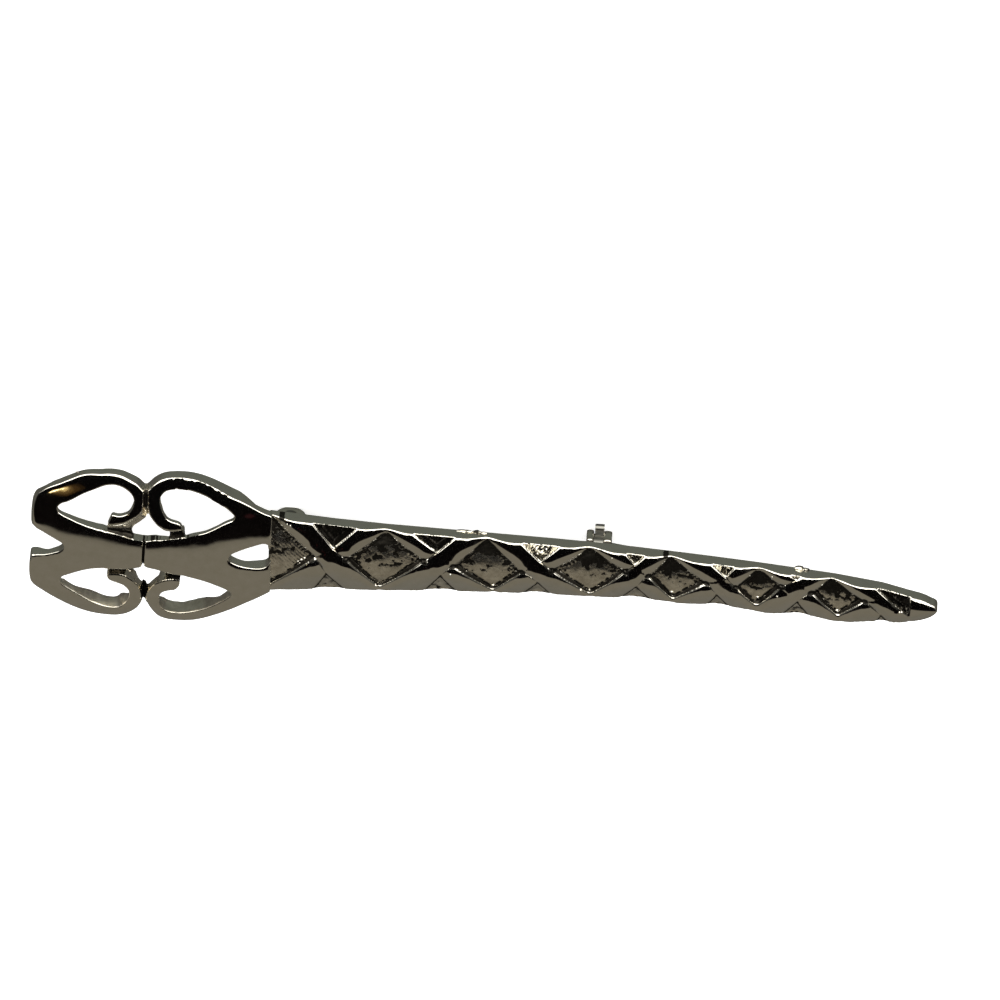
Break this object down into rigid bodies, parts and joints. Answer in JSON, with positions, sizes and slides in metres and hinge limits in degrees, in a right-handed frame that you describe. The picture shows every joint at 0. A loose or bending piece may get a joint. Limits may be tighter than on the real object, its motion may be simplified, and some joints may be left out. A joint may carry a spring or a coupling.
{
  "type": "bar brooch in the form of a sword",
  "caption": "Cast bar brooch shaped as a sword, with an openwork scroll hilt, ribbon-crossed blade, hinged pin stem and rollover safety catch.",
  "frame": {"origin": "under the middle of the bounding box, on the plane of the feet of the hinge and catch", "axes": "+X from the hilt to the tip, +Y towards the upper edge as worn, +Z out of the front face"},
  "size_m": [0.0983, 0.0196, 0.007],
  "materials": {
    "plated_casting": "polished silver-tone plating, dull and dark in the recesses",
    "catch_metal": "polished plated findings",
    "pin_steel": "drawn steel wire, polished"
  },
  "bodies": {
    "brooch": {"body": "plated_casting", "hinge_rivet": "catch_metal"},
    "pin": {"pin_stem": "pin_steel"},
    "lever": {"catch_lever": "catch_metal"}
  },
  "joints": [
    {"name": "pin_swing", "type": "hinge", "parent": "brooch", "child": "pin", "pos_m": [-0.02115, 0.0005, 0.00165], "axis": [0, 1, 0], "range_deg": [0, 100]},
    {"name": "lever_turn", "type": "hinge", "parent": "brooch", "child": "lever", "pos_m": [0.0123, 0.0005, 0.00165], "axis": [-1, 0, 0], "range_deg": [0, 100]}
  ]
}
